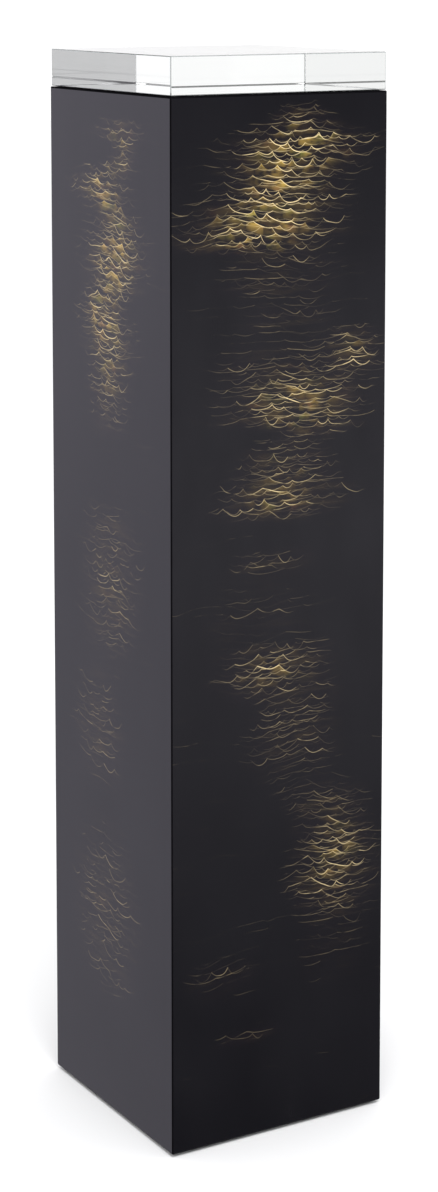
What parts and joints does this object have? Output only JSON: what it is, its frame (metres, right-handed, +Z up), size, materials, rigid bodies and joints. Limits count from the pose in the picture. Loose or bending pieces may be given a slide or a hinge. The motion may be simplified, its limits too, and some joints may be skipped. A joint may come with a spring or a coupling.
{
  "type": "display plinth",
  "caption": "Tall square black lacquered display plinth with a rippled gold pattern, a loose clear acrylic block on top and threaded levelling feet underneath.",
  "frame": {"origin": "centre of the plinth's footprint, on the floor under its levelling feet", "axes": "+Z up the plinth; the front panel faces -Y and the left panel faces -X"},
  "size_m": [0.25, 0.25, 1.0958],
  "materials": {
    "lacquer": "satin-gloss black lacquer on MDF, with a painted gold ripple pattern",
    "acrylic": "clear cast acrylic, flame-polished edges",
    "clear_rubber": "clear soft polyurethane",
    "mdf": "raw MDF",
    "softwood": "planed pine",
    "beech": "fluted beech",
    "zinc_steel": "bright zinc plating",
    "nylon": "moulded black nylon"
  },
  "bodies": {
    "carcass": {"front_panel": "lacquer", "right_panel": "lacquer", "back_panel": "lacquer", "left_panel": "lacquer", "deck": "lacquer", "base": "mdf", "lower_brace": "mdf", "upper_brace": "mdf", "corner_batten_front_left": "softwood", "corner_batten_front_right": "softwood", "corner_batten_back_left": "softwood", "corner_batten_back_right": "softwood", "deck_dowel_front_left": "beech", "deck_dowel_front_right": "beech", "deck_dowel_back_left": "beech", "deck_dowel_back_right": "beech", "base_screw_front_left": "zinc_steel", "base_screw_front_right": "zinc_steel", "base_screw_back_left": "zinc_steel", "base_screw_back_right": "zinc_steel", "tee_nut_front_left": "zinc_steel", "tee_nut_front_right": "zinc_steel", "tee_nut_back_left": "zinc_steel", "tee_nut_back_right": "zinc_steel", "bumper_front_left": "clear_rubber", "bumper_front_right": "clear_rubber", "bumper_back_left": "clear_rubber", "bumper_back_right": "clear_rubber"},
    "acrylic_block": {"acrylic_block": "acrylic"},
    "foot_pad_front_left": {"foot_pad_front_left": "nylon"},
    "foot_stem_front_left": {"foot_stem_front_left": "zinc_steel"},
    "foot_pad_front_right": {"foot_pad_front_right": "nylon"},
    "foot_stem_front_right": {"foot_stem_front_right": "zinc_steel"},
    "foot_pad_back_left": {"foot_pad_back_left": "nylon"},
    "foot_stem_back_left": {"foot_stem_back_left": "zinc_steel"},
    "foot_pad_back_right": {"foot_pad_back_right": "nylon"},
    "foot_stem_back_right": {"foot_stem_back_right": "zinc_steel"}
  },
  "joints": [
    {"name": "acrylic_lift", "type": "slide", "parent": "carcass", "child": "acrylic_block", "axis": [0, 0, 1], "range_m": [0, 0.06]},
    {"name": "foot_level_front_left", "type": "slide", "parent": "carcass", "child": "foot_pad_front_left", "axis": [0, 0, 1], "range_m": [-0.01, 0.0025]},
    {"name": "foot_turn_front_left", "type": "hinge", "parent": "foot_pad_front_left", "child": "foot_stem_front_left", "pos_m": [-0.072, -0.072, 0.011], "axis": [0, 0, 1], "range_deg": [-2882, 722]},
    {"name": "foot_level_front_right", "type": "slide", "parent": "carcass", "child": "foot_pad_front_right", "axis": [0, 0, 1], "range_m": [-0.01, 0.0025]},
    {"name": "foot_turn_front_right", "type": "hinge", "parent": "foot_pad_front_right", "child": "foot_stem_front_right", "pos_m": [0.072, -0.072, 0.011], "axis": [0, 0, 1], "range_deg": [-2882, 722]},
    {"name": "foot_level_back_left", "type": "slide", "parent": "carcass", "child": "foot_pad_back_left", "axis": [0, 0, 1], "range_m": [-0.01, 0.0025]},
    {"name": "foot_turn_back_left", "type": "hinge", "parent": "foot_pad_back_left", "child": "foot_stem_back_left", "pos_m": [-0.072, 0.072, 0.011], "axis": [0, 0, 1], "range_deg": [-2882, 722]},
    {"name": "foot_level_back_right", "type": "slide", "parent": "carcass", "child": "foot_pad_back_right", "axis": [0, 0, 1], "range_m": [-0.01, 0.0025]},
    {"name": "foot_turn_back_right", "type": "hinge", "parent": "foot_pad_back_right", "child": "foot_stem_back_right", "pos_m": [0.072, 0.072, 0.011], "axis": [0, 0, 1], "range_deg": [-2882, 722]}
  ],
  "couplings": [
    {"joint": "foot_turn_front_left", "follows": "foot_level_front_left", "rad_per_m": 5026.5},
    {"joint": "foot_turn_front_right", "follows": "foot_level_front_right", "rad_per_m": 5026.5},
    {"joint": "foot_turn_back_left", "follows": "foot_level_back_left", "rad_per_m": 5026.5},
    {"joint": "foot_turn_back_right", "follows": "foot_level_back_right", "rad_per_m": 5026.5}
  ]
}
